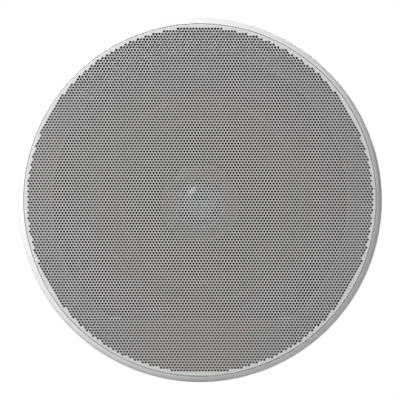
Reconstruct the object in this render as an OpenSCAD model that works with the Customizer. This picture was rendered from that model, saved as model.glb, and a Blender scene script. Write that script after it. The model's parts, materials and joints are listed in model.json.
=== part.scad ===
// Round two-way coaxial speaker that is let into a wall or ceiling.
// Everything is drawn with z towards the listener and y up, and stood up against the wall at the end,
// so the finished part faces -Y, with +Z up and its origin at the centre of the flange's back.

/* [Frame] */
// Outer diameter of the bezel
bezel_d = 230; // [226:1:240]
// Width of the rounded bezel as seen from the front
bezel_w = 3.8; // [3:0.2:5]
// How far the bezel stands off the wall
bezel_h = 5.6; // [5.4:0.1:7]
// Thickness of the flange that bears on the wall
flange_t = 2.2; // [2:0.1:2.6]
// Diameter of the body that goes through the cut-out
body_d = 206; // [205:0.5:208]
// Length of the full ring behind the flange that centres the body in the cut-out
collar_l = 7.6; // [6:0.2:7.8]
// Wall of the skirt
skirt_wall = 2.2; // [1.8:0.1:2.2]
// Depth of the skirt behind the wall's face
skirt_depth = 32; // [26:1:36]
// Distance from the centre down to the edge of the flat shelf
shelf_drop = 74.6; // [74:0.2:77]
// Length of the bosses that take the baffle's screws
boss_l = 5.5; // [4.5:0.5:6]

/* [Grille] */
// Thickness of the perforated sheet
sheet_t = 0.8; // [0.6:0.1:1]
// Space between the flange and the back of the sheet
grille_lift = 2.2; // [1.8:0.1:2.4]
// Gap between the grille's edge and the bezel
grille_gap = 0.25; // [0.2:0.05:0.5]
// Diameter of the perforated field
perforated_d = 219.2; // [210:0.4:219.6]
// Pitch of the holes in the real sheet
sheet_pitch = 1.94; // [1.8:0.02:2.2]
// Diameter of the holes in the real sheet
sheet_hole_d = 1.36; // [1:0.02:1.4]
// How many real pitches each drawn pitch stands for
pitch_step = 4; // [4:1:8]

/* [Baffle] */
// Diameter of the baffle at its rim
baffle_d = 185.6; // [184:0.4:186]
// Width of the dark joint line between the baffle and the frame
joint_w = 0.8; // [0.5:0.1:1]
// Wall of the baffle
baffle_t = 2.5; // [2:0.1:2.8]
// Depth of the opening over the woofer behind the wall's face
throat_depth = 18; // [17:0.5:19]

/* [Clamps] */
// Distance of the clamp screws from the centre
clamp_r = 84; // [83.5:0.25:85]
// Angle of the clamp screws above and below the horizontal
clamp_angle = 29.5; // [28:0.5:31]
// Diameter of the clamp screws
screw_d = 4; // [3.5:0.5:4.5]
// Length of a dog leg from its screw to its tip
arm_l = 30; // [28:0.5:31]
// Width of a dog leg
arm_w = 8; // [7:0.5:8.5]
// Travel of a dog leg along its screw
clamp_travel = 29.5; // [24:0.5:30]

/* [Woofer] */
// Gap between the basket's flange and the clamp pockets
basket_gap = 1.9; // [1.4:0.1:2.4]
// Width of the land that the basket's flange seats on
land_w = 8.1; // [7.8:0.1:8.6]
// Width of the half-roll surround
roll_w = 13.4; // [12:0.2:13.6]
// Thickness of the surround
roll_t = 0.9; // [0.6:0.1:1.2]
// Thickness of the cone
cone_t = 0.9; // [0.6:0.1:1.2]
// Depth of the cone from its edge to its neck
cone_depth = 23; // [22:0.5:24]
// Diameter of the voice coil
coil_d = 32; // [30:0.5:33]
// Air gap on each side of the voice coil
coil_gap = 0.5; // [0.4:0.05:0.6]
// Diameter of the ferrite magnet
magnet_d = 92; // [84:1:100]
// Thickness of the ferrite magnet
magnet_t = 15; // [12:1:18]
// Thickness of the steel top plate
top_plate_t = 6; // [5:0.5:7]
// Thickness of the steel back plate
back_plate_t = 6; // [5:0.5:7]

/* [Tweeter] */
// Diameter of the tweeter's face
pod_d = 49.4; // [46:0.2:50]
// Diameter of the dome
dome_d = 25; // [24:0.5:26]
// Height of the dome
dome_h = 4.6; // [4:0.2:5]
// Distance from the tilt axis to the crown of the face
pod_reach = 18.5; // [18:0.1:19]
// How far the tweeter is aimed downwards
aim = 8; // [0:1:12]
// Diameter of the post that carries the tweeter
post_d = 16; // [12:1:18]

/* [Crossover] */
// Length of the power resistor
resistor_l = 22; // [20:1:24]
// Height of the power resistor
resistor_h = 7; // [6:0.5:8]
// Radius of the larger coil
coil_r = 10; // [9:0.5:10.5]
// Height of the larger coil
coil_h = 11; // [9:0.5:11.5]
// Radius of the larger capacitor
can_r = 6.5; // [5.5:0.5:6.5]
// Length of the larger capacitor
can_l = 18; // [16:1:20]
// Width of the circuit board
board_w = 76; // [72:1:78]
// Length of the circuit board from front to back
board_l = 43; // [42:0.5:44]
// Thickness of the circuit board
board_t = 1.6; // [1.2:0.2:2]

/* [Hidden] */
$fn = 96;

// Clearances
seat = 0.1;
slack = 0.3;

// Frame
bezel_r = bezel_d / 2;
bezel_in_r = bezel_r - bezel_w;
body_r = body_d / 2;
skirt_in_r = body_r - skirt_wall;
collar_step = 0.6;
baffle_r = baffle_d / 2;
opening_r = baffle_r + joint_w;
shelf_y = -shelf_drop;
groove_depth = 1;
lip_r = opening_r + 0.5;
lip_t = 2;

// Grille
grille_r = bezel_in_r - grille_gap;
grille_back = flange_t + grille_lift;
grille_front = grille_back + sheet_t;
grille_edge_r = 0.6;
hole_pitch = sheet_pitch * pitch_step;
hole_r = sheet_hole_d * pitch_step / 2;
row_pitch = hole_pitch * sqrt(3) / 2;
field_r = min(perforated_d / 2, grille_r - 2 * sheet_t) - hole_r;
rows = ceil(field_r / row_pitch);

// Magnets that hold the grille, hidden behind a skin of the flange
magnet_r = 3;
magnet_wall = 1;
magnet_h = 3;
magnet_skin = 0.8;
magnet_angles = [12, 68, 112, 192, 248, 292];
magnet_pcr = lip_r + slack + magnet_r + magnet_wall;
magnet_top = flange_t - magnet_skin;

// Baffle
rim_z = flange_t - 0.2;
rim_back = -boss_l - baffle_t;
pocket_in = -arm_w / 2 - 1.4;
tower_wall = 2.2;
basket_r = clamp_r + pocket_in - tower_wall - basket_gap;
throat_r = basket_r - land_w;
throat_z = -throat_depth;
slope = (rim_z - throat_z) / (baffle_r - throat_r);
wall_z = baffle_t * sqrt(1 + slope * slope);
land_z = throat_z - baffle_t;
land_r = basket_r + slack;
rim_in_r = baffle_r - baffle_t;
chord_y = shelf_y + slack;
function funnel_z(r) = throat_z + (r - throat_r) * slope;

// Outer face of the baffle's rim, from back to front: wall, lip behind the flange, floor of the joint line
rim_face = [
    [baffle_r, rim_back], [baffle_r, -lip_t - 1], [lip_r, -lip_t], [lip_r, -seat], [opening_r - seat, -seat],
    [opening_r - seat, rim_z - groove_depth], [baffle_r, rim_z - groove_depth], [baffle_r, rim_z]
];

// Screws that hold the baffle: three on its rim and two under the shelf
boss_r = 3.4;
ear_r = lip_r + slack + boss_r;
ear_pad_r = skirt_in_r - seat - ear_r;
ear_angles = [0, 90, 180];
shelf_boss_x = 35;
shelf_boss_y = shelf_y - 5.4;
m3_r = 1.5;
m3_head_r = 2.9;
m3_head_h = 2.2;

// Gussets inside the skirt, clear of the pockets, magnets and screws
gusset_angles = [20, 58, 78, 102, 122, 134, 186, 199, 240, 300, 312, 320];
gusset_t = 1.6;
gusset_h = 6;

// Ribs behind the baffle, between the basket's land and the rim
rib_angles = [10, 20, 58, 68, 78, 102, 112, 122, 132, 142, 188, 198, 312, 321];
rib_t = 1.5;
rib_root = 2;

// Clamps
clamp_angles = [clamp_angle, 180 - clamp_angle, 180 + clamp_angle, 360 - clamp_angle];
screw_r = screw_d / 2;
screw_head_r = 2 * screw_r;
screw_head_h = 2.6;
hub_r = screw_r + 2.6;
pocket_low = -max(hub_r, arm_w / 2) - 0.5;
pocket_high = arm_l + 3;
tower_top = funnel_z(clamp_r + pocket_in - tower_wall) - wall_z - 0.9;
tower_roof_t = 3;
roof_z = tower_top - tower_roof_t;
roof_u = screw_head_r + 4.4;
hub_h = 12;
crank = 7.3;
tower_back = roof_z - clamp_travel - hub_h - 2 * slack;
floor_t = 2;
leg_z = tower_back;
leg_s = arm_l * 0.63;
window_low = pocket_low;
sweep_r = sqrt(arm_l * arm_l + arm_w * arm_w / 4);
sweep_cos = (skirt_in_r * skirt_in_r - clamp_r * clamp_r - sweep_r * sweep_r) / (2 * clamp_r * sweep_r);
window_high = sweep_r * sqrt(1 - sweep_cos * sweep_cos) + 1.2;
window_top = -collar_l - 0.4;
chimney_r = screw_head_r + 0.7;

// Woofer
gasket_t = 1.5;
basket_z = land_z - gasket_t;
basket_flange_t = 2.5;
roll_out_r = throat_r - 1;
roll_mid_r = roll_out_r - roll_w / 2;
roll_in_r = roll_out_r - roll_w;
lip_w = 2.6;
glue_land_r = roll_out_r - 3.2;
cone_edge_z = basket_z;
cone_edge_r = roll_in_r + 0.3;
former_in_r = coil_d / 2;
former_t = 0.3;
former_r = former_in_r + former_t;
winding_t = 0.6;
winding_r = former_r + winding_t;
pole_r = former_in_r - coil_gap;
gap_r = winding_r + coil_gap;
neck_z = cone_edge_z - cone_depth;
spider_z = neck_z - 5.5;
spider_t = 0.8;
spider_r = 47.5;
spider_room = 4.1;
ledge_in_r = 38;
ledge_z = spider_z;
basket_wall = 2;
basket_floor = ledge_z - 7;
basket_screw_r = basket_r - m3_head_r - 0.4;
basket_screw_grip = 3.6;
basket_screw_angles = [0, 60, 120, 180, 240, 300];
wall_top_r = basket_screw_r - m3_head_r - 0.4;
wall_foot_r = spider_r + spider_room;
legs = 8;
leg_w = 14;
leg_rib_t = 2.4;
leg_rib_h = 1.8;
leg_rib_top = basket_z - basket_flange_t - m3_head_h - 1;
strip_w = 18;
strip_t = 1.2;
strip_in_r = wall_top_r + 0.5;
strip_out_r = basket_r - 0.9;
strip_mid_r = (strip_in_r + strip_out_r) / 2;
strip_back_z = basket_z - basket_flange_t - strip_t;
tag_x = 6;
tag_w = 2.8;
tag_t = 0.5;
tag_l = 7.6;
plate_top = basket_floor;
plate_back = plate_top - top_plate_t;
magnet_back = plate_back - magnet_t;
yoke_back = magnet_back - back_plate_t;
winding_l = 12;
winding_mid = plate_top - top_plate_t / 2;
pole_top = plate_top + 1;

// Tweeter
post_r = post_d / 2;
stud_r = 4;
pivot_z = grille_back - 1.6 - pod_reach * cos(15) - pod_d / 2 * sin(15);
yoke_top = pivot_z - 11.9;
yoke_t = 2.8;
yoke_back_z = yoke_top - yoke_t;
spigot_r = 3;
clip_t = 1;
pod_r = pod_d / 2;
motor_r = dome_d / 2 + 2.7;
housing_r = motor_r + 2;
trunnion_r = 1.5;
ear_gap = 0.4;
ear_t = 2;
ear_w = 9;
pod_back = -4;
face_in_r = dome_d / 2 + 2.7;
face_w = pod_r - face_in_r;
crown_r = face_w * 0.547;
face_back = pod_reach - 5.5;
pot_top = face_back - 0.6;
dome_r = dome_d / 2;

// Crossover
tray_drop = 16.4;
tray_y = shelf_y - tray_drop;
tray_t = 2;
standoff_h = 2.4;
board_y = tray_y + tray_t + standoff_h;
board_top = board_y + board_t;
tray_x = board_w / 2 + 4;
tray_front = rim_back;
tray_front_t = 2.5;
board_front = tray_front - tray_front_t - 3.5;
board_back = board_front - board_l;
tray_back = board_back - 3;
board_hole_x = board_w / 2 - 5;
parts_front = basket_z - basket_flange_t - 8;
parts_gap = 3;
small_coil_r = coil_r - 2;
small_coil_h = coil_h - 2;
small_can_r = can_r - 1.5;
small_can_l = can_l - 2;
coil_x = -small_coil_r - parts_gap - coil_r - 1;
can_x = small_coil_r + parts_gap - 0.5 + can_r;
small_can_x = can_x + can_r + 2 + small_can_r;
block_w = 28;
block_ways = 4;

// Stands the drawing up against the wall
module upright() rotate([90, 0, 0]) children();

// A ring between two radii and two heights
module ring(outer, inner, low, high) {
    translate([0, 0, low])
    difference() {
        cylinder(r = outer, h = high - low);
        translate([0, 0, -1]) cylinder(r = inner, h = high - low + 2);
    }
}

// A plain disc or rod between two heights
module rod(r, low, high) translate([0, 0, low]) cylinder(r = r, h = high - low);

// A box between two corners
module block(low, high) translate(low) cube(high - low);

// Places its children at a radius and an angle
module polar(r, a) rotate([0, 0, a]) translate([r, 0, 0]) children();

// A pan-head screw with a cross recess, head down on z = 0 and shank towards -z
module pan_screw(r, head_r, head_h, shank) {
    difference() {
        union() {
            rotate_extrude()
            intersection() {
                translate([0, head_h - 1.6 * head_r]) circle(r = 1.6 * head_r);
                square([head_r, head_h]);
            }
            rod(r, -shank, 0.1);
        }
        for (a = [0, 90])
            rotate([0, 0, a])
            block([-head_r * 0.55, -head_r * 0.12, head_h * 0.35], [head_r * 0.55, head_r * 0.12, head_h + 1]);
    }
}

// Frame: bezel, flange, shelf, skirt and clamp pockets, one moulding
module frame() {
    color("white") upright()
    difference() {
        union() {
            bezel_and_flange();
            shelf();
            skirt();
            for (a = clamp_angles) polar(clamp_r, a) tower();
            for (a = gusset_angles) rotate([0, 0, a]) gusset();
            for (a = magnet_angles) polar(magnet_pcr, a) rod(magnet_r + magnet_wall, magnet_top - magnet_h, 0.1);
            for (a = ear_angles) polar(ear_r, a) rod(boss_r, -boss_l, 0.1);
            for (s = [-1, 1]) translate([s * shelf_boss_x, shelf_boss_y]) rod(boss_r, -boss_l, 0.1);
        }
        for (a = magnet_angles)
            polar(magnet_pcr, a) rod(magnet_r + seat, magnet_top - magnet_h - 1, magnet_top);
        for (a = ear_angles) polar(ear_r, a) rod(m3_r, -boss_l - 1, 0.8);
        for (s = [-1, 1]) translate([s * shelf_boss_x, shelf_boss_y]) rod(m3_r, -boss_l - 1, 0.8);
    }
}

module bezel_and_flange() {
    rotate_extrude($fn = 180)
    union() {
        translate([opening_r, 0]) square([bezel_in_r - opening_r + 0.5, flange_t]);
        intersection() {
            translate([bezel_r - bezel_h, 0]) circle(r = bezel_h);
            translate([bezel_in_r, 0]) square([bezel_w, bezel_h]);
        }
    }
}

module shelf() {
    difference() {
        intersection() {
            rod(opening_r + 1, 0, flange_t);
            block([-bezel_r, -bezel_r, -1], [bezel_r, shelf_y, flange_t + 1]);
        }
        ring(opening_r, baffle_r, flange_t - groove_depth, flange_t + 1);
    }
}

module skirt() {
    difference() {
        union() {
            ring(body_r, skirt_in_r, -collar_l, 0.1);
            ring(body_r - collar_step, skirt_in_r, -skirt_depth, -collar_l + 0.1);
        }
        for (a = clamp_angles)
            polar(clamp_r, a)
            block([8, window_low, -skirt_depth - 1], [30, window_high, window_top]);
    }
}

// A gusset between the flange's back and the skirt
module gusset() {
    translate([0, gusset_t / 2, 0])
    rotate([90, 0, 0])
    linear_extrude(gusset_t)
    polygon([[lip_r + slack, 0.1], [skirt_in_r + 0.5, 0.1], [skirt_in_r + 0.5, -gusset_h]]);
}

// One clamp pocket, with its screw's axis at the origin and u pointing outwards
module tower() {
    difference() {
        union() {
            pocket_wall(pocket_low - tower_wall);
            pocket_wall(pocket_high);
            block([pocket_in - tower_wall, pocket_low - tower_wall, tower_back - floor_t],
                [pocket_in, pocket_high + tower_wall, tower_top]);
            block([pocket_in - tower_wall, pocket_low - tower_wall, tower_back - floor_t],
                [arm_w / 2 + 3, pocket_high + tower_wall, tower_back]);
            block([pocket_in - tower_wall, pocket_low - tower_wall, roof_z], [roof_u, roof_u, tower_top]);
        }
        rod(screw_r + seat, tower_back - floor_t - 1, tower_top + 1);
    }
}

// A side wall of the pocket, from the inner wall out to the skirt
module pocket_wall(v) {
    far = max(abs(v), abs(v + tower_wall));
    skirt_u = sqrt(skirt_in_r * skirt_in_r - far * far) - clamp_r + 0.6;
    rim_u = sqrt(pow(lip_r + slack, 2) - min(v * v, pow(v + tower_wall, 2))) - clamp_r;
    back = tower_back - floor_t;
    translate([0, v + tower_wall, 0])
    rotate([90, 0, 0])
    linear_extrude(tower_wall)
    polygon([
        [pocket_in - tower_wall, back], [arm_w / 2 + 3, back], [skirt_u, -skirt_depth - 2], [skirt_u, 0.1],
        [rim_u, 0.1], [rim_u, tower_top], [pocket_in - tower_wall, tower_top]
    ]);
}

// Grille: perforated sheet with a turned-back edge that stands on the flange
module grille() {
    color("gainsboro") upright()
    union() {
        translate([0, 0, grille_back])
        linear_extrude(sheet_t)
        difference() {
            circle(r = grille_r - sheet_t / 2, $fn = 180);
            for (j = [-rows:rows], i = [-rows - 1:rows + 1]) {
                x = (i + (j % 2 == 0 ? 0 : 0.5)) * hole_pitch;
                y = j * row_pitch;
                if (x * x + y * y < field_r * field_r) translate([x, y]) circle(r = hole_r, $fn = 24);
            }
        }
        rotate_extrude($fn = 180)
        difference() {
            union() {
                translate([grille_r - sheet_t, flange_t]) square([sheet_t, grille_back - flange_t + 0.1]);
                translate([grille_r - sheet_t, grille_back]) square([sheet_t - grille_edge_r, sheet_t]);
                translate([grille_r - grille_edge_r, grille_back]) square([grille_edge_r, sheet_t - grille_edge_r]);
                translate([grille_r - grille_edge_r, grille_front - grille_edge_r])
                    circle(r = grille_edge_r, $fn = 32);
            }
            translate([0, flange_t - 1]) square([grille_r - sheet_t, 30]);
        }
    }
}

// Magnets that hold the grille, pressed into the flange from behind
module grille_magnets() {
    color("silver") upright()
    for (a = magnet_angles) polar(magnet_pcr, a) rod(magnet_r, magnet_top - magnet_h, magnet_top);
}

// Baffle: cone-shaped moulding with a flat edge along the shelf
module baffle() {
    color("dimgray") upright()
    difference() {
        union() {
            intersection() {
                rotate_extrude($fn = 180)
                polygon(concat(
                    [[throat_r, land_z], [land_r, land_z], [land_r, funnel_z(land_r) - wall_z]],
                    [[rim_in_r, funnel_z(rim_in_r) - wall_z], [rim_in_r, rim_back]], rim_face,
                    [[throat_r, throat_z]]
                ));
                block([-bezel_r, chord_y, land_z - 1], [bezel_r, bezel_r, 9]);
            }
            intersection() {
                rotate_extrude($fn = 180)
                polygon(concat(
                    [[throat_r, land_z], [land_r, land_z], [land_r, funnel_z(land_r) - wall_z]],
                    [[rim_in_r, funnel_z(rim_in_r) - wall_z]], rim_face, [[throat_r, rim_z]]
                ));
                block([-bezel_r, chord_y, land_z - 1], [bezel_r, chord_y + baffle_t, 9]);
            }
            intersection() {
                rod(opening_r - 4, -lip_t, -seat);
                block([-bezel_r, chord_y - 1.2, -lip_t], [bezel_r, chord_y + 1, -seat]);
            }
            intersection() {
                for (a = clamp_angles) polar(clamp_r, a) rod(chimney_r + 1.4, tower_top + 0.2, 0);
                rotate_extrude()
                polygon([
                    [throat_r, funnel_z(throat_r) - 0.5], [baffle_r - 1, funnel_z(baffle_r - 1) - 0.5],
                    [baffle_r - 1, tower_top], [throat_r, tower_top]
                ]);
            }
            for (a = rib_angles) rotate([0, 0, a]) rib();
            for (a = ear_angles) polar(ear_r, a) ear();
            for (s = [-1, 1]) translate([s * shelf_boss_x, shelf_boss_y]) rotate([0, 0, -90]) ear();
        }
        for (a = clamp_angles) polar(clamp_r, a) rod(chimney_r, tower_top - 1, rim_z + 1);
        for (a = ear_angles) polar(ear_r, a) rod(m3_r + 0.3, rim_back - 1, -boss_l + 1);
        for (s = [-1, 1])
            translate([s * shelf_boss_x, shelf_boss_y]) rod(m3_r + 0.3, rim_back - 1, -boss_l + 1);
        for (a = basket_screw_angles) polar(basket_screw_r, a) rod(m3_r, land_z - 1, land_z + basket_screw_grip);
    }
}

// A rib under the baffle's cone, from the basket's land to the rim
module rib() {
    translate([0, rib_t / 2, 0])
    rotate([90, 0, 0])
    linear_extrude(rib_t)
    polygon([
        [land_r - 0.3, funnel_z(land_r - 0.3) - wall_z + 0.3], [rim_in_r + 0.3, funnel_z(rim_in_r + 0.3) - wall_z + 0.3],
        [rim_in_r + 0.3, rim_back + 1], [land_r - 0.3, land_z + rib_root]
    ]);
}

// A screw ear of the baffle, with its screw at the origin and its root towards -u
module ear() {
    root = ear_r - rim_in_r - 0.4;
    rod(ear_pad_r, rim_back, -boss_l);
    block([-root, -ear_pad_r, rim_back], [0, ear_pad_r, -boss_l]);
}

// Screws that hold the baffle, and the two that hold the crossover tray too
module baffle_screws() {
    color("silver") upright() {
        for (a = ear_angles)
            polar(ear_r, a) translate([0, 0, rim_back]) rotate([180, 0, 0])
            pan_screw(m3_r - seat, m3_head_r, m3_head_h, baffle_t + boss_l);
        for (s = [-1, 1])
            translate([s * shelf_boss_x, shelf_boss_y, tray_front - tray_front_t]) rotate([180, 0, 0])
            pan_screw(m3_r - seat, m3_head_r, m3_head_h, tray_front_t + baffle_t + boss_l);
    }
}

module clamp_screw(k) {
    color("silver") upright()
    polar(clamp_r, clamp_angles[k])
    translate([0, 0, tower_top + seat])
    pan_screw(screw_r, screw_head_r, screw_head_h, tower_top + seat - tower_back + floor_t + 2);
}

// Dog leg: a cranked arm on its screw, folded back into its pocket
module dog_leg(k) {
    color("black") upright()
    polar(clamp_r, clamp_angles[k])
    translate([0, 0, leg_z + slack])
    difference() {
        union() {
            rod(hub_r, 0, hub_h);
            translate([arm_w / 2, 0, 0])
            rotate([90, 0, -90])
            linear_extrude(arm_w)
            polygon([
                [0, 0], [-leg_s, 3], [-arm_l, 7], [-arm_l, hub_h + crank], [-leg_s, hub_h + crank],
                [-leg_s * 0.7, hub_h], [0, hub_h]
            ]);
        }
        rod(screw_r + seat, -1, hub_h + 1);
        for (s = [0:2])
            translate([-arm_w, arm_l - 2.2 - s * 3, hub_h + crank - 0.8]) cube([2 * arm_w, 1.2, 1.6]);
    }
}

// Foam ring between the baffle and the basket
module driver_gasket() {
    color("black") upright()
    difference() {
        ring(basket_r - 1, throat_r + 0.2, basket_z, land_z);
        for (a = basket_screw_angles) polar(basket_screw_r, a) rod(m3_r + 0.3, basket_z - 1, land_z + 1);
    }
}

// Basket: flange, eight legs, spider ledge and pot
module basket() {
    color("darkgray") upright() {
        basket_shell();
        for (i = [0:legs - 1]) rotate([0, 0, i * 360 / legs]) leg_rib();
    }
}

// Outer radius of the basket's wall
function wall_r(z) =
    wall_foot_r + (wall_top_r - wall_foot_r) * (z - ledge_z) / (basket_z - basket_flange_t - ledge_z);

// A rib along the outside of a leg
module leg_rib() {
    translate([0, leg_rib_t / 2, 0])
    rotate([90, 0, 0])
    linear_extrude(leg_rib_t)
    polygon([
        [wall_r(leg_rib_top) - 1, leg_rib_top], [wall_r(leg_rib_top), leg_rib_top],
        [wall_r(leg_rib_top - 4) + leg_rib_h, leg_rib_top - 4], [wall_foot_r + leg_rib_h, ledge_z],
        [wall_foot_r + leg_rib_h, ledge_z - 0.4 * basket_wall], [wall_foot_r, ledge_z - basket_wall],
        [wall_foot_r - 1, ledge_z - basket_wall], [wall_foot_r - 1, ledge_z]
    ]);
}

module basket_shell() {
    difference() {
        rotate_extrude($fn = 180)
        polygon([
            [glue_land_r, basket_z], [basket_r, basket_z], [basket_r, basket_z - basket_flange_t],
            [wall_top_r, basket_z - basket_flange_t], [wall_foot_r, ledge_z],
            [wall_foot_r, ledge_z - basket_wall], [ledge_in_r + basket_wall, ledge_z - basket_wall],
            [ledge_in_r + basket_wall, basket_floor], [gap_r + 3, basket_floor],
            [gap_r + 3, basket_floor + basket_wall], [ledge_in_r, basket_floor + basket_wall],
            [ledge_in_r, ledge_z], [wall_foot_r - 1.2 * basket_wall, ledge_z],
            [wall_top_r - 1.2 * basket_wall, basket_z - basket_flange_t],
            [glue_land_r, basket_z - basket_flange_t]
        ]);
        for (i = [0:legs - 1])
            rotate([0, 0, (i + 0.5) * 360 / legs])
            intersection() {
                rotate_extrude()
                polygon([
                    [ledge_in_r + 4, ledge_z + 4], [wall_top_r + 4, ledge_z + 4],
                    [wall_top_r + 4, basket_z - basket_flange_t - 4], [ledge_in_r + 4, basket_z - basket_flange_t - 4]
                ]);
                linear_extrude(200, center = true)
                polygon([
                    [0, 0],
                    [2 * basket_r * cos(180 / legs), 2 * basket_r * sin(180 / legs) - leg_w / 2],
                    [2 * basket_r * cos(180 / legs), -2 * basket_r * sin(180 / legs) + leg_w / 2]
                ]);
            }
        for (a = basket_screw_angles)
            polar(basket_screw_r, a) rod(m3_r + 0.3, basket_z - basket_flange_t - 1, basket_z + 1);
    }
}

module basket_screws() {
    color("black") upright()
    for (a = basket_screw_angles)
        polar(basket_screw_r, a) translate([0, 0, basket_z - basket_flange_t]) rotate([180, 0, 0])
        pan_screw(m3_r - seat, m3_head_r, m3_head_h, basket_flange_t + gasket_t + basket_screw_grip - 0.4);
}

// Insulating strip on the basket's flange for the woofer's leads
module tag_strip() {
    color("peru") upright()
    difference() {
        block([-strip_w / 2, -strip_out_r, strip_back_z], [strip_w / 2, -strip_in_r, strip_back_z + strip_t]);
        for (s = [-1, 1]) translate([s * tag_x, -strip_mid_r]) rod(0.8, strip_back_z - 1, strip_back_z + strip_t + 1);
    }
}

// Two solder tags, each bent up from its foot on the strip, with a rivet through it
module lead_tags() {
    color("silver") upright()
    for (s = [-1, 1])
        translate([s * tag_x, -strip_mid_r, strip_back_z]) {
            difference() {
                union() {
                    block([-tag_w / 2, -1.6, -tag_t], [tag_w / 2, 2.4, 0]);
                    block([-tag_w / 2, 2.4 - tag_t, -tag_l], [tag_w / 2, 2.4, 0]);
                }
                translate([0, 4, 1.9 - tag_l]) rotate([90, 0, 0]) cylinder(r = 0.7, h = 4);
            }
            rod(0.8, -tag_t, strip_t);
            rod(1.3, -tag_t - 0.5, -tag_t);
        }
}

// Surround: a half roll between its outer lip on the basket and its inner lip on the cone
module surround() {
    color("dimgray") upright()
    translate([0, 0, cone_edge_z])
    rotate_extrude($fn = 180)
    union() {
        difference() {
            translate([roll_mid_r, 0]) circle(r = roll_w / 2);
            translate([roll_mid_r, 0]) circle(r = roll_w / 2 - roll_t);
            translate([roll_in_r - 1, -roll_w]) square([roll_w + 2, roll_w]);
            translate([roll_in_r - 1, -1]) square([roll_w / 2, 1 + slack]);
        }
        translate([roll_out_r - roll_t, 0]) square([throat_r - roll_out_r + roll_t - 0.1, roll_t]);
        translate([roll_in_r - lip_w, slack]) square([lip_w + roll_t, roll_t]);
    }
}

// Cone: a curved paper cone from the surround down to the neck
function cone_z(t) = cone_edge_z - cone_depth * pow(t, 0.85);
function cone_rim(t) = cone_edge_r + (former_r - cone_edge_r) * t;
cone_steps = 8;

module cone() {
    color("dimgray") upright()
    rotate_extrude($fn = 180)
    polygon(concat(
        [for (i = [0:cone_steps]) [cone_rim(i / cone_steps), cone_z(i / cone_steps)]],
        [for (i = [cone_steps:-1:0]) [cone_rim(i / cone_steps), cone_z(i / cone_steps) - 1.2 * cone_t]]
    ));
}

// Spider: a corrugated cloth disc between the coil former and the ledge
function spider_wave(r) = 1.3 * sin(360 * 4 * (r - former_r) / (ledge_in_r - former_r));
spider_flat_r = ledge_in_r - 0.4;
spider_steps = 40;

module spider() {
    inner = former_r + slack;
    step = (spider_flat_r - inner) / spider_steps;
    color("goldenrod") upright()
    translate([0, 0, spider_z])
    rotate_extrude($fn = 120)
    polygon(concat(
        [for (i = [0:spider_steps]) [inner + i * step, spider_wave(inner + i * step) * (i < spider_steps ? 1 : 0)]],
        [[spider_r, 0], [spider_r, spider_t]],
        [for (i = [spider_steps:-1:0])
            [inner + i * step, spider_t + spider_wave(inner + i * step) * (i < spider_steps ? 1 : 0)]]
    ));
}

module coil_former() {
    color("peru") upright() ring(former_r, former_in_r, winding_mid - winding_l / 2, neck_z + 1);
}

module voice_coil() {
    color("sienna") upright()
    ring(winding_r, former_r, winding_mid - winding_l / 2, winding_mid + winding_l / 2);
}

module top_plate() {
    color("silver") upright() ring(magnet_d / 2 - 1, gap_r, plate_back, plate_top);
}

module woofer_magnet() {
    color("darkslategray") upright() ring(magnet_d / 2, gap_r + 5, magnet_back, plate_back);
}

// Pole piece: back plate and pole in one, bored for the tweeter's post
module pole_piece() {
    color("silver") upright()
    difference() {
        union() {
            rod(magnet_d / 2 - 3, yoke_back, magnet_back);
            rod(pole_r, yoke_back, pole_top);
        }
        rod(stud_r + seat, yoke_back - 1, pole_top + 1);
    }
}

// Post through the pole, with a spigot that the yoke turns on
module tweeter_post() {
    color("silver") upright()
    difference() {
        union() {
            rod(stud_r, yoke_back - 8, pole_top + 1);
            rod(post_r, pole_top, yoke_back_z);
            rod(spigot_r, yoke_back_z - 1, yoke_top + 2);
        }
        rod(1.5, yoke_back - 9, yoke_top + 3);
        ring(spigot_r + 1, spigot_r - 0.6, yoke_top + seat, yoke_top + seat + clip_t);
    }
}

module post_nut() {
    color("silver") upright()
    difference() {
        translate([0, 0, yoke_back - 5.5]) cylinder(r = 7.5, h = 5.5, $fn = 6);
        rod(stud_r + seat, yoke_back - 7, yoke_back + 1);
    }
}

// Clip in the groove of the spigot
module post_clip() {
    color("dimgray") upright()
    ring(spigot_r + 1.8, spigot_r - 0.5, yoke_top + seat, yoke_top + seat + clip_t - 0.05);
}

// Yoke: turns on the post and carries the tweeter between its two ears
module tweeter_yoke() {
    inner = housing_r + ear_gap;
    outer = inner + ear_t;
    color("dimgray") upright()
    difference() {
        union() {
            rod(12.5, yoke_back_z + seat, yoke_top);
            block([-outer, -ear_w / 2, yoke_back_z + seat], [outer, ear_w / 2, yoke_top]);
            for (s = [-1, 1])
                scale_x(s) {
                    block([inner, -ear_w / 2, yoke_top - 0.1], [outer, ear_w / 2, pivot_z]);
                    translate([inner, 0, pivot_z]) rotate([0, 90, 0]) cylinder(d = ear_w, h = ear_t);
                }
        }
        rod(spigot_r + seat, yoke_back_z - 1, yoke_top + 1);
        translate([-outer - 1, 0, pivot_z]) rotate([0, 90, 0])
            cylinder(r = trunnion_r + seat, h = 2 * outer + 2);
    }
}

// Mirrors its children in x when s is -1
module scale_x(s) {
    if (s > 0) children();
    else mirror([1, 0, 0]) children();
}

// Puts a piece of the tweeter at its tilt axis, aimed downwards
module aimed() upright() translate([0, 0, pivot_z]) rotate([aim, 0, 0]) children();

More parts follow.
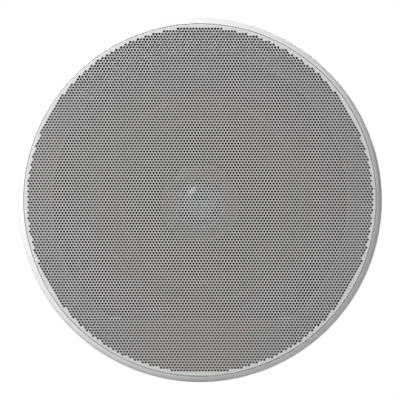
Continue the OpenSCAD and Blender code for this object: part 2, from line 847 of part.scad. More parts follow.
// Housing with the two trunnions it tilts on
module tweeter_housing() {
    color("gainsboro") aimed()
    union() {
        rotate_extrude()
        polygon([
            [0, pod_back], [housing_r - 2.4, pod_back], [housing_r, pod_back + 2.4],
            [housing_r, face_back - 6.5], [pod_r - 2.2, face_back - 3.2], [pod_r - 0.5, face_back - 1],
            [pod_r - 0.5, face_back + 1], [pod_r - 2, face_back + 1], [pod_r - 2, face_back],
            [motor_r + 0.2, face_back - 3.6], [motor_r + 0.2, pod_back + 2], [0, pod_back + 2]
        ]);
        for (s = [-1, 1])
            scale_x(s)
            translate([housing_r - 0.6, 0, 0]) rotate([0, 90, 0])
            cylinder(r = trunnion_r, h = ear_gap + ear_t + 0.9);
    }
}

// Rounded ring round the dome
module tweeter_face() {
    color("gainsboro") aimed()
    rotate_extrude($fn = 180)
    difference() {
        intersection() {
            translate([face_in_r + face_w / 2, pod_reach - crown_r]) circle(r = crown_r);
            translate([face_in_r, face_back]) square([face_w, 6]);
        }
        translate([pod_r - 2.1, face_back - 1]) square([3, 2.05]);
    }
}

// Dome with its own small half roll and clamping lip
module tweeter_dome() {
    ball = (dome_r * dome_r + dome_h * dome_h) / (2 * dome_h);
    base = face_back + 0.4;
    color("silver") aimed()
    rotate_extrude()
    union() {
        difference() {
            intersection() {
                translate([0, base + dome_h - ball]) circle(r = ball, $fn = 180);
                translate([0, base]) square([dome_r, dome_h + 1]);
            }
            translate([0, base + dome_h - ball]) circle(r = ball - 0.4, $fn = 180);
        }
        difference() {
            translate([dome_r + 1.1, base]) circle(r = 1.3, $fn = 32);
            translate([dome_r + 1.1, base]) circle(r = 0.9, $fn = 32);
            translate([dome_r - 1, base - 2]) square([5, 2]);
        }
        translate([dome_r + 2, face_back - 0.4]) square([0.6, 0.8]);
    }
}

module tweeter_coil() {
    color("peru") aimed() ring(dome_r + 0.2, dome_r - 0.1, pot_top - 4, face_back + 0.4);
}

module tweeter_pole() {
    color("silver") aimed() rod(dome_r - 0.5, pot_top - 3, pot_top);
}

module tweeter_magnet() {
    color("gray") aimed() rod(dome_r - 1.5, pod_back + 5, pot_top - 3);
}

module tweeter_pot() {
    color("silver") aimed()
    difference() {
        rod(motor_r, pod_back + 2, pot_top);
        rod(dome_r + 0.7, pod_back + 5, pot_top + 1);
    }
}

// Tray for the crossover, held under the shelf by two of the baffle's screws
module crossover_tray() {
    low_y = tray_y;
    wall_y = tray_y + 12;
    ear_y = shelf_boss_y + boss_r;
    color("black") upright()
    difference() {
        union() {
            block([-tray_x, low_y, tray_back], [tray_x, low_y + tray_t, tray_front]);
            block([-tray_x, low_y, tray_back], [tray_x, wall_y, tray_back + tray_t]);
            block([-tray_x, low_y, tray_front - tray_front_t], [tray_x, ear_y, tray_front]);
            for (s = [-1, 1])
                scale_x(s) block([tray_x - tray_t, low_y, tray_back], [tray_x, wall_y, tray_front]);
            for (x = [-1, 1], z = [board_front - 4, board_back + 4])
                translate([x * board_hole_x, low_y + tray_t - 0.1, z]) rotate([-90, 0, 0])
                cylinder(r = 2.6, h = standoff_h + 0.1);
        }
        block([-block_w / 2 - slack, board_top - slack, tray_back - 1],
            [block_w / 2 + slack, wall_y + 1, tray_back + tray_t + 1]);
        for (s = [-1, 1])
            translate([s * shelf_boss_x, shelf_boss_y])
            rod(m3_r + 0.3, tray_front - tray_front_t - 1, tray_front + 1);
        for (x = [-1, 1], z = [board_front - 4, board_back + 4])
            translate([x * board_hole_x, low_y + 0.6, z]) rotate([-90, 0, 0]) cylinder(r = 1.2, h = 9);
    }
}

module crossover_board() {
    color("darkgreen") upright()
    difference() {
        block([-board_w / 2, board_y, board_back], [board_w / 2, board_top, board_front]);
        for (x = [-1, 1], z = [board_front - 4, board_back + 4])
            translate([x * board_hole_x, board_y - 1, z]) rotate([-90, 0, 0]) cylinder(r = 1.5, h = board_t + 2);
    }
}

module board_screws() {
    color("silver") upright()
    for (x = [-1, 1], z = [board_front - 4, board_back + 4])
        translate([x * board_hole_x, board_top, z]) rotate([-90, 0, 0])
        pan_screw(1.1, 2.3, 1.7, board_t + standoff_h);
}

// A part standing on the board at x and z
module on_board(x, z) translate([x, board_top, z]) rotate([-90, 0, 0]) children();

// Two coils on bobbins
module inductors() {
    color("peru") upright() {
        on_board(coil_x, parts_front - coil_r) bobbin(coil_r, coil_h);
        on_board(0, parts_front - small_coil_r) bobbin(small_coil_r, small_coil_h);
    }
}

module bobbin(r, h) {
    rotate_extrude($fn = 64)
    polygon([
        [3, 0], [r, 0], [r, 1], [r - 1, 1.6], [r - 1, h - 1.6], [r, h - 1], [r, h], [3, h]
    ]);
}

// Two cylindrical capacitors lying on the board
module capacitors() {
    color("goldenrod") upright() {
        can(can_x, can_r, can_l, parts_front);
        can(small_can_x, small_can_r, small_can_l, parts_front - 1);
    }
}

module can(x, r, l, front) {
    translate([x, board_top + r, front - l])
    rotate_extrude($fn = 64)
    polygon([
        [0, 0], [r - 0.8, 0], [r, 0.8], [r, l - 3.2], [r - 0.5, l - 2.7], [r - 0.5, l - 2.2], [r, l - 1.7],
        [r, l - 0.8], [r - 0.8, l], [0, l]
    ]);
}

// A ceramic power resistor
module resistor() {
    color("white") upright()
    block([-resistor_l / 2 - 2, board_top, land_z + slack], [resistor_l / 2 - 2, board_top + resistor_h, board_front - 1]);
}

// Terminal block for the cable from the amplifier
module terminal_block() {
    way = block_w / block_ways;
    back = tray_back - 5;
    front = tray_back + 9;
    color("darkgreen") upright()
    difference() {
        union() {
            block([-block_w / 2, board_top, back], [block_w / 2, board_top + 8, front]);
            block([-block_w / 2, board_top, back + 3], [block_w / 2, board_top + 12, front - 2]);
        }
        for (i = [0:block_ways - 1]) {
            x = (i + 0.5) * way - block_w / 2;
            block([x - 1.8, board_top + 1.6, back - 1], [x + 1.8, board_top + 6.4, back + 6]);
            translate([x, board_top + 7.5, (back + front) / 2]) rotate([-90, 0, 0])
                cylinder(r = 2.2, h = 9);
        }
    }
}

module terminal_screws() {
    way = block_w / block_ways;
    color("silver") upright()
    for (i = [0:block_ways - 1])
        translate([(i + 0.5) * way - block_w / 2, board_top + 7.5, tray_back + 2]) rotate([-90, 0, 0])
        difference() {
            cylinder(r = 2, h = 3);
            translate([-3, -0.35, 2]) cube([6, 0.7, 2]);
        }
}

frame();
grille();
grille_magnets();
baffle();
baffle_screws();
clamp_screw(0);  // clamp_screw_1
clamp_screw(1);  // clamp_screw_2
clamp_screw(2);  // clamp_screw_3
clamp_screw(3);  // clamp_screw_4
dog_leg(0);  // dog_leg_1
dog_leg(1);  // dog_leg_2
dog_leg(2);  // dog_leg_3
dog_leg(3);  // dog_leg_4
driver_gasket();
basket();
basket_screws();
surround();
cone();
spider();
coil_former();
voice_coil();
top_plate();
woofer_magnet();
pole_piece();
tag_strip();
lead_tags();
tweeter_post();
post_nut();
post_clip();
tweeter_yoke();
tweeter_housing();
tweeter_face();
tweeter_dome();
tweeter_coil();
tweeter_pole();
tweeter_magnet();
tweeter_pot();
crossover_tray();
crossover_board();
board_screws();
inductors();
capacitors();
resistor();
terminal_block();
terminal_screws();
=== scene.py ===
"""Looks of the recessed speaker: materials, perforated sheet, soft parts, light and camera."""
import json
import math

import bmesh
import bpy
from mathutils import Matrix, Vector, geometry


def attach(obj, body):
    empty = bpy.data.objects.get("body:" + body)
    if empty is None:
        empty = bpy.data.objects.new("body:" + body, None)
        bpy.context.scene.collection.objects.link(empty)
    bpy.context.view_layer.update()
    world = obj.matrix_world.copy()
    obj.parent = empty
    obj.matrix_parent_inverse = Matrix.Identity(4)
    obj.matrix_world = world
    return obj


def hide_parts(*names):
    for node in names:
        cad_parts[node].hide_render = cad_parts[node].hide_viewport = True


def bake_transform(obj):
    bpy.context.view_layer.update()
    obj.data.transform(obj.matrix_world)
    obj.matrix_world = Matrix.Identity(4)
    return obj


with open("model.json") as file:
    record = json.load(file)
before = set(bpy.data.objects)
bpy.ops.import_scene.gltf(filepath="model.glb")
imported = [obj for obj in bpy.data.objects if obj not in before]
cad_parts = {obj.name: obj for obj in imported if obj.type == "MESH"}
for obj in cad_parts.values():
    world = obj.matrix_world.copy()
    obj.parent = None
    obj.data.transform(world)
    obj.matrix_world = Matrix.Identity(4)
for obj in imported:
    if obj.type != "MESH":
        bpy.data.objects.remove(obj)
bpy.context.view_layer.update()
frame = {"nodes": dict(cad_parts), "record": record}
nodes = frame["nodes"]

# Sizes in metres, as the solids have them. Depth is y: 0 at the wall's face, and less towards the listener.
BEZEL_R = 0.115
GRILLE_R = 0.11095
GRILLE_FRONT, GRILLE_BACK, GRILLE_FOOT = 0.0052, 0.0044, 0.0022
GRILLE_EDGE_R, SHEET_T = 0.0006, 0.0008
FIELD_R = 0.1096
RING_N = 360

# Holes of the real sheet: their distance, their radius, how many sides they have, and where the rows start
PITCH, HOLE_R, HOLE_SIDES = 0.00194, 0.00080, 12
LATTICE_X, LATTICE_Z = 0.00074, -0.00138

# Faces that are seen only through the holes, painted dark there as shade: within a radius, and between two
# depths
FRAME_FACE_R, FRAME_FACE_Y = 0.1111, (-0.01, -0.0008)
SHEET_BACK_R, SHEET_BACK_Y = 0.1103, (-0.0047, 0.0)
TOWER_ROOF_R, TOWER_ROOF_Y = 0.0925, (0.014, 0.015)
CLAMP_HEAD_X, CLAMP_HEAD_Y = 0.06, (0.0105, 0.0145)
PAINTED_SHADE_BLACK = (0.03, 0.03, 0.03)

# Surround: middle and radius of its half roll, its thickness, the depth and edges of its lips
ROLL_MID, ROLL_R, ROLL_T, ROLL_Y = 0.0587, 0.0067, 0.0009, 0.022
LIP_OUT, LIP_IN, LIP_LIFT = 0.0663, ROLL_MID - ROLL_R - 0.0026, 0.0003

# Spider: depth, thickness, inner edge, where its corrugations end, and outer edge
SPIDER_Y, SPIDER_T, SPIDER_IN, SPIDER_FLAT, SPIDER_OUT = 0.0505, 0.0008, 0.0166, 0.0376, 0.0475

# Brightness of the surroundings by direction: -1 is the camera's side, 1 is behind the object
WORLD_LIGHT = [(-1.0, 0.02), (-0.45, 0.05), (-0.05, 0.41), (1.0, 0.45)]


# Camera: straight on, at the photograph's framing
CAMERA_DISTANCE = 1.4
camera_data = bpy.data.cameras.new("camera")
camera_data.sensor_width = 36
camera_data.lens = 199.4
camera_data.clip_start, camera_data.clip_end = 0.05, 50
camera = bpy.data.objects.new("camera", camera_data)
camera.location = (0, -CAMERA_DISTANCE, 0)
camera.rotation_euler = (math.pi / 2, 0, 0)
bpy.context.scene.collection.objects.link(camera)
bpy.context.scene.camera = camera


# Node helpers
class Shader:
    """Builds one procedural material, node by node."""

    def __init__(self, name):
        self.material = bpy.data.materials.new(name)
        self.material.use_nodes = True
        self.tree = self.material.node_tree
        self.bsdf = self.tree.nodes["Principled BSDF"]
        self.place = self.node("ShaderNodeTexCoord").outputs["Object"]

    def node(self, kind, values=None, **settings):
        made = self.tree.nodes.new(kind)
        for key, value in settings.items():
            setattr(made, key, value)
        for key, value in (values or {}).items():
            if isinstance(value, bpy.types.NodeSocket):
                self.tree.links.new(value, made.inputs[key])
            else:
                made.inputs[key].default_value = value
        return made

    def noise(self, scale, detail=3, rough=0.5, place=None):
        values = {"Vector": place or self.place, "Scale": scale, "Detail": detail, "Roughness": rough}
        return self.node("ShaderNodeTexNoise", values).outputs["Fac"]

    def ramp(self, factor, stops):
        made = self.node("ShaderNodeValToRGB", {"Fac": factor})
        elements = made.color_ramp.elements
        while len(elements) < len(stops):
            elements.new(0.5)
        for element, (at, colour) in zip(elements, stops):
            element.position = at
            element.color = (*colour, 1)
        return made.outputs["Color"]

    def span(self, factor, low, high, start=0.0, end=1.0):
        values = {"Value": factor, "From Min": start, "From Max": end, "To Min": low, "To Max": high}
        return self.node("ShaderNodeMapRange", values).outputs["Result"]

    def mix(self, factor, a, b):
        made = self.node("ShaderNodeMix", data_type="RGBA")
        for index, value in ((0, factor), (6, a), (7, b)):
            if isinstance(value, bpy.types.NodeSocket):
                self.tree.links.new(value, made.inputs[index])
            else:
                made.inputs[index].default_value = value if index == 0 else (*value, 1)
        return made.outputs[2]

    def math(self, operation, a, b=0.0):
        made = self.node("ShaderNodeMath", operation=operation)
        for index, value in enumerate((a, b)):
            if isinstance(value, bpy.types.NodeSocket):
                self.tree.links.new(value, made.inputs[index])
            else:
                made.inputs[index].default_value = value
        return made.outputs[0]

    def between(self, value, low, high):
        above = self.math("GREATER_THAN", value, low)
        return self.math("MULTIPLY", above, self.math("LESS_THAN", value, high))

    def axes(self):
        return self.node("ShaderNodeSeparateXYZ", {"Vector": self.place}).outputs

    def bump(self, height, strength, distance):
        values = {"Height": height, "Strength": strength, "Distance": distance}
        normal = self.node("ShaderNodeBump", values).outputs["Normal"]
        self.tree.links.new(normal, self.bsdf.inputs["Normal"])

    def feed(self, **values):
        """Links or sets sockets of the shader, named with underscores for blanks."""
        for key, value in values.items():
            socket = self.bsdf.inputs[key.replace("_", " ")]
            if isinstance(value, bpy.types.NodeSocket):
                self.tree.links.new(value, socket)
            elif hasattr(value, "__len__"):
                socket.default_value = (*value, 1)
            else:
                socket.default_value = value
        return self


def tone(colour, factor):
    return tuple(min(1.0, c * factor) for c in colour)


def grey(value):
    return (value, value, value)


def moulded(name, colour, rough, grain=2500, depth=0.00003, strength=0.25, vary=0.06, metal=0.0, **more):
    """Moulded, painted or plated surface: slow change of tone, and a fine grain in bump and gloss."""
    s = Shader(name)
    slow = s.noise(14, 4)
    colours = s.ramp(slow, [(0.3, tone(colour, 1 - vary)), (0.7, tone(colour, 1 + vary))])
    fine = s.noise(grain, 4, 0.6)
    gloss = s.span(s.noise(60, 5, 0.65), rough - 0.06, rough + 0.08, 0.3, 0.7)
    s.feed(Base_Color=colours, Roughness=gloss, Metallic=metal, **more)
    s.bump(fine, strength, depth)
    return s.material


def painted_shade_tone(name, colour, inner, rough, radius, depths):
    """Moulding or sheet with painted shade: dark within a radius and between two depths, and on the towers'
    roofs, faces seen only through the holes.
    """
    s = Shader(name)
    x, y, z = s.axes()
    across = s.math("SQRT", s.math("ADD", s.math("POWER", x, 2.0), s.math("POWER", z, 2.0)))
    # Where painted shade goes: the face within the radius and depths, and the towers' roofs
    face = s.math("MULTIPLY", s.math("LESS_THAN", across, radius), s.between(y, *depths))
    roof_shade = s.math("MULTIPLY", s.math("LESS_THAN", across, TOWER_ROOF_R), s.between(y, *TOWER_ROOF_Y))
    slow = s.noise(14, 4)
    shown = s.mix(slow, tone(colour, 0.99), tone(colour, 1.01))
    shade_colour = s.mix(slow, tone(inner, 0.95), tone(inner, 1.05))
    gloss = s.span(s.noise(60, 5, 0.65), rough - 0.05, rough + 0.07, 0.3, 0.7)
    s.feed(Base_Color=s.mix(s.math("MAXIMUM", face, roof_shade), shown, shade_colour), Roughness=gloss)
    s.bump(s.noise(2500, 4, 0.6), 0.25, 0.00003)
    return s.material


def brushed(name, colour, rough, squeeze=(1, 30, 1), scale=500, strength=0.2, heads=False):
    """Turned or drawn metal: streaks in tone and gloss; heads paints the heads of the clamp screws black, as
    painted shade.
    """
    s = Shader(name)
    stretched = s.node("ShaderNodeMapping", {"Vector": s.place, "Scale": squeeze}).outputs[0]
    streaks = s.noise(scale, 3, 0.6, stretched)
    blotches = s.noise(40, 4)
    mixed = s.mix(blotches, tone(colour, 0.86), tone(colour, 1.08))
    if heads:
        # Painted shade: the clamp screws' heads, seen only through the holes, turn black
        x, y, z = s.axes()
        off = s.math("GREATER_THAN", s.math("ABSOLUTE", x), CLAMP_HEAD_X)
        mixed = s.mix(s.math("MULTIPLY", off, s.between(y, *CLAMP_HEAD_Y)), mixed, PAINTED_SHADE_BLACK)
    s.feed(Base_Color=mixed, Roughness=s.span(streaks, rough - 0.08, rough + 0.12), Metallic=1.0)
    s.bump(streaks, strength, 0.00002)
    return s.material


def cloth(name, dark, light):
    """Woven cloth stiffened with resin: two crossing sets of threads."""
    s = Shader(name)
    warp = s.node("ShaderNodeTexWave", {"Vector": s.place, "Scale": 420}, bands_direction="X").outputs["Fac"]
    weft = s.node("ShaderNodeTexWave", {"Vector": s.place, "Scale": 420}, bands_direction="Z").outputs["Fac"]
    weave = s.math("MAXIMUM", warp, weft)
    blotches = s.noise(50, 4)
    tones = s.mix(s.math("MULTIPLY", weave, s.span(blotches, 0.6, 1.0)), dark, light)
    s.feed(Base_Color=tones, Roughness=0.75)
    s.bump(weave, 0.5, 0.0001)
    return s.material


def wound(name, colour, rough=0.28, pitch=1800, axis="Y"):
    """Enamelled wire laid turn beside turn."""
    s = Shader(name)
    values = {"Vector": s.place, "Scale": pitch}
    turns = s.node("ShaderNodeTexWave", values, bands_direction=axis).outputs["Fac"]
    tones = s.mix(turns, tone(colour, 0.45), tone(colour, 1.1))
    s.feed(Base_Color=tones, Roughness=s.span(s.noise(90), rough, rough + 0.15), Metallic=0.85)
    s.bump(turns, 0.6, 0.00008)
    return s.material


def speckled(name, colour, rough, scale=1400, depth=0.00008, strength=0.6, vary=0.3, metal=0.0):
    """Sintered or cast surface with small grains and pits."""
    s = Shader(name)
    values = {"Vector": s.place, "Scale": scale}
    grains = s.node("ShaderNodeTexVoronoi", values).outputs["Distance"]
    clouds = s.noise(70, 6, 0.7)
    both = s.math("MULTIPLY", grains, clouds)
    s.feed(
        Base_Color=s.ramp(both, [(0.05, tone(colour, 1 - vary)), (0.45, tone(colour, 1 + vary))]),
        Roughness=s.span(clouds, rough - 0.1, rough + 0.1),
        Metallic=metal,
    )
    s.bump(both, strength, depth)
    return s.material


def cone_sheet(name, colour):
    """Pressed cone: faint rings and a satin skin with small flecks."""
    s = Shader(name)
    values = {"Vector": s.place, "Scale": 160}
    rings = s.node("ShaderNodeTexWave", values, wave_type="RINGS", rings_direction="Y").outputs["Fac"]
    flecks = s.noise(1500, 5, 0.7)
    mixed = s.mix(s.noise(300, 6, 0.75), tone(colour, 0.8), tone(colour, 1.25))
    s.feed(Base_Color=mixed, Roughness=s.span(flecks, 0.45, 0.62, 0.3, 0.7), Specular_IOR_Level=0.2)
    s.bump(s.math("ADD", s.math("MULTIPLY", rings, 0.25), flecks), 0.25, 0.00006)
    return s.material


def ribbed(name, colour, rough):
    """Rubber roll: matt, a little dusty."""
    s = Shader(name)
    dust = s.noise(220, 6, 0.7)
    mixed = s.ramp(dust, [(0.35, tone(colour, 0.85)), (0.75, tone(colour, 1.5))])
    s.feed(Base_Color=mixed, Roughness=s.span(dust, rough - 0.08, rough + 0.08))
    s.bump(s.noise(3200, 3), 0.2, 0.00003)
    return s.material


def solder_mask(name, colour):
    """Circuit board: green mask with raised tracks under it."""
    s = Shader(name)
    values = {"Vector": s.place, "Scale": 150, "Randomness": 0.55}
    cells = s.node("ShaderNodeTexVoronoi", values, distance="CHEBYCHEV", feature="F1").outputs["Distance"]
    tracks = s.span(cells, 0.0, 1.0, 0.28, 0.34)
    s.feed(Base_Color=s.mix(tracks, tone(colour, 1.7), colour), Roughness=s.span(s.noise(80), 0.22, 0.4))
    s.bump(tracks, -0.4, 0.00004)
    return s.material


materials = {
    # The frame's face under the grille and the sheet's back are painted dark as shade
    "white_plastic": painted_shade_tone("white_plastic", grey(0.80), grey(0.06), 0.38, FRAME_FACE_R, FRAME_FACE_Y),
    "grille_paint": painted_shade_tone("grille_paint", grey(0.70), grey(0.06), 0.42, SHEET_BACK_R, SHEET_BACK_Y),
    "nickel": brushed("nickel", (0.62, 0.61, 0.58), 0.25),
    "dark_plastic": moulded(
        "dark_plastic", (0.030, 0.030, 0.031), 0.55, grain=1800, strength=0.35, Specular_IOR_Level=0.25,
    ),
    # heads=True paints shade, black, on the clamp screws' heads
    "zinc": brushed("zinc", (0.60, 0.61, 0.62), 0.34, heads=True),
    "black_plastic": moulded("black_plastic", (0.022, 0.022, 0.023), 0.45, strength=0.4),
    "foam": speckled("foam", grey(0.03), 0.9, scale=900, depth=0.0003),
    "basket_metal": speckled("basket_metal", (0.10, 0.10, 0.105), 0.5, strength=0.3, vary=0.12, metal=0.3),
    "black_steel": moulded("black_steel", (0.03, 0.03, 0.032), 0.38, metal=0.7),
    "roll_rubber": ribbed("roll_rubber", grey(0.018), 0.6),
    "cone_paper": cone_sheet("cone_paper", (0.018, 0.018, 0.019)),
    "spider_cloth": cloth("spider_cloth", (0.20, 0.14, 0.05), (0.62, 0.48, 0.22)),
    "former_foil": brushed("former_foil", (0.45, 0.30, 0.14), 0.3),
    "copper": wound("copper", (0.58, 0.26, 0.11)),
    "ferrite": speckled("ferrite", (0.045, 0.045, 0.05), 0.6),
    "silver_plastic": moulded("silver_plastic", (0.055, 0.055, 0.056), 0.28, vary=0.02, grain=6000),
    "dome_metal": brushed("dome_metal", (0.24, 0.24, 0.245), 0.2, squeeze=(1, 1, 1)),
    "board_green": solder_mask("board_green", (0.02, 0.13, 0.05)),
    "film_wrap": moulded("film_wrap", (0.66, 0.44, 0.06), 0.18, grain=700, vary=0.1),
    "ceramic": speckled("ceramic", (0.70, 0.69, 0.65), 0.7, vary=0.08),
    "block_green": moulded("block_green", (0.05, 0.30, 0.10), 0.35),
    "laminate": speckled("laminate", (0.30, 0.15, 0.055), 0.45, vary=0.12),
}
slot_of = {p["node"]: p["material_slot"] for p in frame["record"]["subparts"]}
for name, node in nodes.items():
    node.data.materials.clear()
    node.data.materials.append(materials[slot_of[name]])


# Mesh helpers
def piece(name, points, faces, slot, body=None, replaced=(), smooth=None):
    """Makes a mesh piece in its material; smooth is the angle in degrees above which an edge stays sharp."""
    mesh = bpy.data.meshes.new(name)
    mesh.from_pydata(points, [], faces)
    mesh.validate()
    if smooth is not None:
        mesh.polygons.foreach_set("use_smooth", [True] * len(mesh.polygons))
        mesh.set_sharp_from_angle(angle=math.radians(smooth))
    mesh.materials.append(materials[slot])
    made = bpy.data.objects.new(name, mesh)
    bpy.context.scene.collection.objects.link(made)
    if body:
        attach(made, body)
    if replaced:
        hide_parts(*replaced)
    return made


def around(radius, angle, depth):
    return (radius * math.cos(angle), depth, radius * math.sin(angle))


# Perforated sheet
def sheet_lattice():
    """Places of the holes: {(column, row): (x, z)}, in rows of one pitch, every other row moved by half."""
    rise = PITCH * math.sqrt(3) / 2
    reach = int(FIELD_R / rise) + 2
    found = {}
    for row in range(-reach, reach + 1):
        for column in range(-2 * reach, 2 * reach + 1):
            x = (column + row / 2) * PITCH + LATTICE_X
            z = row * rise + LATTICE_Z
            if math.hypot(x, z) < FIELD_R - HOLE_R:
                found[column, row] = (x, z)
    return found


# The six neighbours of a hole, in columns and rows, anticlockwise from the right
STEPS = [(1, 0), (0, 1), (-1, 1), (-1, 0), (0, -1), (1, -1)]


def build_grille(parts=4):
    """The front as flat faces round the holes, in bands, each closed into a solid; the rest is the edge."""
    lattice = sheet_lattice()
    keys = sorted(lattice, key=lambda k: (k[1], k[0]))
    first = {k: i * HOLE_SIDES for i, k in enumerate(keys)}
    half = math.pi / HOLE_SIDES
    flat = []
    for k in keys:
        x, z = lattice[k]
        for m in range(HOLE_SIDES):
            a = (2 * m + 1) * half
            flat.append((x + HOLE_R * math.cos(a), z + HOLE_R * math.sin(a)))

    def corner(key, m):
        return first[key] + m % HOLE_SIDES

    # Between two holes a bar of four corners, and between three a patch of six
    faces = []
    for n, k in enumerate(keys):
        around_k = [(k[0] + c, k[1] + r) for c, r in STEPS]
        for d in range(3):
            b = around_k[d]
            if b in first:
                faces.append((n, (
                    corner(k, 2 * d - 1), corner(b, 2 * d + 6), corner(b, 2 * d + 5), corner(k, 2 * d),
                )))
        for d in range(2):
            b, c = around_k[d], around_k[d + 1]
            if b in first and c in first:
                faces.append((n, (
                    corner(k, 2 * d), corner(b, 2 * d + 5), corner(b, 2 * d + 4),
                    corner(c, 2 * d + 9), corner(c, 2 * d + 8), corner(k, 2 * d + 1),
                )))

    # The outline of the holes' field, and the plain margin outside it
    used = set()
    for _, f in faces:
        used.update(zip(f, f[1:] + f[:1]))
    for k in keys:
        ring = [first[k] + m for m in range(HOLE_SIDES)]
        used.update(zip(ring, ring[1:] + ring[:1]))
    after = {a: b for a, b in used if (b, a) not in used}
    start = min(after)
    outline = [start]
    while after[outline[-1]] != start:
        outline.append(after[outline[-1]])
    assert len(outline) == len(after)
    rim = len(flat)
    front_r, back_r = GRILLE_R - GRILLE_EDGE_R, GRILLE_R - SHEET_T
    angles = [2 * math.pi * i / RING_N for i in range(RING_N)]
    flat += [(front_r * math.cos(a), front_r * math.sin(a)) for a in angles]
    circle = list(range(rim, rim + RING_N))
    polygons = [circle, outline[::-1]]
    index = [i for polygon in polygons for i in polygon]
    margin = []
    for t in geometry.tessellate_polygon([[Vector((*flat[i], 0)) for i in p] for p in polygons]):
        a, b, c = (index[i] for i in t)
        (ax, az), (bx, bz), (cx, cz) = flat[a], flat[b], flat[c]
        turn = (bx - ax) * (cz - az) - (bz - az) * (cx - ax)
        if abs(turn) > 1e-14:
            margin.append((a, b, c) if turn > 0 else (a, c, b))

    # How far the foot's sharp edge is broken
    broken = 0.0002

    def solid(name, front_faces):
        """Front faces, the same behind, and a wall along every open edge but the outer circle."""
        wanted = sorted({i for f in front_faces for i in f})
        place = {i: j for j, i in enumerate(wanted)}
        count = len(wanted)
        points = [(flat[i][0], -GRILLE_FRONT, flat[i][1]) for i in wanted]
        for i in wanted:
            x, z = flat[i]
            if i >= rim:
                x, z = x * back_r / front_r, z * back_r / front_r
            points.append((x, -GRILLE_BACK, z))
        made = [tuple(place[i] for i in f) for f in front_faces]
        edges = set()
        for f in made:
            edges.update(zip(f, f[1:] + f[:1]))
        made += [tuple(i + count for i in reversed(f)) for f in made]
        on_rim = {place[i] for i in circle if i in place}
        for a, b in edges:
            if (b, a) not in edges and not (a in on_rim and b in on_rim):
                made.append((b, a, a + count, b + count))
        if on_rim:
            profile = []
            for degrees in (18, 36, 54, 72, 90):
                t = math.radians(degrees)
                r = GRILLE_R - GRILLE_EDGE_R * (1 - math.sin(t))
                profile.append((r, -GRILLE_FRONT + GRILLE_EDGE_R * (1 - math.cos(t))))
            profile += [(GRILLE_R, -GRILLE_FOOT - broken), (GRILLE_R - broken, -GRILLE_FOOT)]
            profile += [(GRILLE_R - SHEET_T, -GRILLE_FOOT)]
            rows = [[place[i] for i in circle]]
            for r, y in profile:
                rows.append(list(range(len(points), len(points) + RING_N)))
                points += [around(r, a, y) for a in angles]
            rows.append([place[i] + count for i in circle])
            for low, high in zip(rows, rows[1:]):
                for i in range(RING_N):
                    j = (i + 1) % RING_N
                    made.append((low[j], low[i], high[i], high[j]))
        return piece(name, points, made, "grille_paint", "speaker", ["grille"], smooth=35)

    solid("grille_edge", margin)
    size = len(keys) / parts
    for p in range(parts):
        solid(f"grille_sheet_{p + 1}", [f for n, f in faces if p * size <= n < (p + 1) * size])


build_grille()


# Soft parts, each in narrow sectors
def soft_ring(node, profile, slot, sectors=24, steps=10):
    """A closed profile of (radius, depth) turned round the axis, cut into sectors."""
    turn = 2 * math.pi / sectors
    count = len(profile)
    for s in range(sectors):
        points, faces = [], []
        for i in range(steps + 1):
            a = (s + i / steps - 0.5) * turn
            points += [around(r, a, y) for r, y in profile]
        for i in range(steps):
            for j in range(count):
                k = (j + 1) % count
                low, high = i * count, (i + 1) * count
                faces.append((low + j, high + j, high + k, low + k))
        made = piece(f"{node}_{s + 1}", points, faces, slot, smooth=40)
        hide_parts(node)
        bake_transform(made)


def fan(start, end, count):
    return [start + (end - start) * i / count for i in range(count + 1)]


def roll_profile():
    """Half roll with its glued lips, from the outer lip over the crest to the inner lip and back below."""
    def arc(radius, start, end):
        turns = fan(start, end, 24)
        return [(ROLL_MID + radius * math.cos(a), ROLL_Y - radius * math.sin(a)) for a in turns]

    profile = [(LIP_OUT, ROLL_Y), (LIP_OUT, ROLL_Y - ROLL_T)]
    profile += arc(ROLL_R, 0.16, math.pi - 0.19)
    profile += [(LIP_IN, ROLL_Y - LIP_LIFT - ROLL_T), (LIP_IN, ROLL_Y - LIP_LIFT)]
    return profile + arc(ROLL_R - ROLL_T, math.pi - 0.05, 0.0)


soft_ring("surround", roll_profile(), "roll_rubber")


def spider_profile():
    """Corrugated disc, flat where it is glued to the ledge."""
    crest, start, end, waves = 0.0013, 0.0163, 0.038, 4

    def wave(r):
        return crest * math.sin(2 * math.pi * waves * (r - start) / (end - start))

    steps = [SPIDER_IN + (SPIDER_FLAT - SPIDER_IN) * i / 48 for i in range(48)]
    low = [(r, SPIDER_Y - wave(r)) for r in steps] + [(SPIDER_FLAT, SPIDER_Y)]
    high = [(r, SPIDER_Y - SPIDER_T - wave(r)) for r in steps] + [(SPIDER_FLAT, SPIDER_Y - SPIDER_T)]
    return low + [(SPIDER_OUT, SPIDER_Y), (SPIDER_OUT, SPIDER_Y - SPIDER_T)] + high[::-1]


soft_ring("spider", spider_profile(), "spider_cloth", steps=6)


# Smooth shading on the solids, sharp where faces meet at an angle
for node in nodes.values():
    node.data.polygons.foreach_set("use_smooth", [True] * len(node.data.polygons))
    node.data.set_sharp_from_angle(angle=math.radians(32))


# Stage and light
def stage_white(lit_grey):
    """White to the camera, and a plain grey for everything that it lights."""
    material = bpy.data.materials.new("stage_white")
    material.use_nodes = True
    tree = material.node_tree
    tree.nodes.clear()
    path = tree.nodes.new("ShaderNodeLightPath")
    shown = tree.nodes.new("ShaderNodeEmission")
    shown.inputs["Color"].default_value = (1, 1, 1, 1)
    shown.inputs["Strength"].default_value = 1.0
    lit = tree.nodes.new("ShaderNodeBsdfDiffuse")
    lit.inputs["Color"].default_value = (*grey(lit_grey), 1)
    both = tree.nodes.new("ShaderNodeMixShader")
    out = tree.nodes.new("ShaderNodeOutputMaterial")
    tree.links.new(path.outputs["Is Camera Ray"], both.inputs["Fac"])
    tree.links.new(lit.outputs[0], both.inputs[1])
    tree.links.new(shown.outputs[0], both.inputs[2])
    tree.links.new(both.outputs[0], out.inputs["Surface"])
    return material


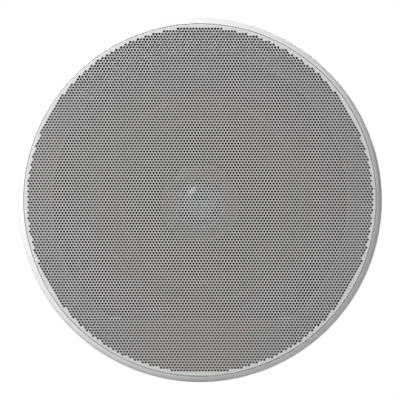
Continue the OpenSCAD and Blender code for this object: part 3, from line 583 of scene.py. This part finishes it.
# The bezel stands on a wide floor, just clear of it
FLOOR_GAP = 0.0004
floor_mesh = bpy.data.meshes.new("floor")
rim = bmesh.new()
bmesh.ops.create_circle(rim, cap_ends=True, segments=96, radius=1.6)
rim.to_mesh(floor_mesh)
rim.free()
floor = bpy.data.objects.new("floor", floor_mesh)
floor.location = (0, 0, -BEZEL_R - FLOOR_GAP)
floor_mesh.materials.append(stage_white(0.5))
bpy.context.scene.collection.objects.link(floor)


def studio_world():
    """White to the camera; as light, bright from behind and the sides, and dark from the front."""
    world = bpy.data.worlds.new("studio")
    world.use_nodes = True
    bpy.context.scene.world = world
    tree = world.node_tree
    lit = tree.nodes["Background"]
    shown = tree.nodes.new("ShaderNodeBackground")
    shown.inputs["Color"].default_value = (1, 1, 1, 1)
    place = tree.nodes.new("ShaderNodeTexCoord")
    parts = tree.nodes.new("ShaderNodeSeparateXYZ")
    depth = tree.nodes.new("ShaderNodeMapRange")
    depth.inputs["From Min"].default_value = -1
    ramp = tree.nodes.new("ShaderNodeValToRGB")
    while len(ramp.color_ramp.elements) < len(WORLD_LIGHT):
        ramp.color_ramp.elements.new(0.5)
    for element, (at, level) in zip(ramp.color_ramp.elements, WORLD_LIGHT):
        element.position = (at + 1) / 2
        element.color = (*grey(level), 1)
    path = tree.nodes.new("ShaderNodeLightPath")
    mixed = tree.nodes.new("ShaderNodeMixShader")
    tree.links.new(place.outputs["Generated"], parts.inputs[0])
    tree.links.new(parts.outputs["Y"], depth.inputs["Value"])
    tree.links.new(depth.outputs["Result"], ramp.inputs["Fac"])
    tree.links.new(ramp.outputs["Color"], lit.inputs["Color"])
    tree.links.new(path.outputs["Is Camera Ray"], mixed.inputs["Fac"])
    tree.links.new(lit.outputs[0], mixed.inputs[1])
    tree.links.new(shown.outputs[0], mixed.inputs[2])
    tree.links.new(mixed.outputs[0], tree.nodes["World Output"].inputs["Surface"])


studio_world()


def softbox(name, azimuth, off_axis, distance, size, power):
    """A light at an angle round the axis (0 right, 90 up) and off it, aimed at the middle."""
    a, t = math.radians(azimuth), math.radians(off_axis)
    place = Vector((math.cos(a) * math.sin(t), -math.cos(t), math.sin(a) * math.sin(t))) * distance
    data = bpy.data.lights.new(name, "AREA")
    data.shape = "DISK"
    data.size = size
    data.energy = power
    made = bpy.data.objects.new(name, data)
    made.location = place
    made.rotation_mode = "QUATERNION"
    made.rotation_quaternion = (-place).to_track_quat("-Z", "Y")
    bpy.context.scene.collection.objects.link(made)


softbox("key", 132, 58, 1.8, 1.2, 42)
softbox("side", 208, 54, 1.8, 0.75, 8)
softbox("back", 45, 150, 1.8, 1.0, 12)

bpy.context.scene.view_settings.view_transform = "Standard"
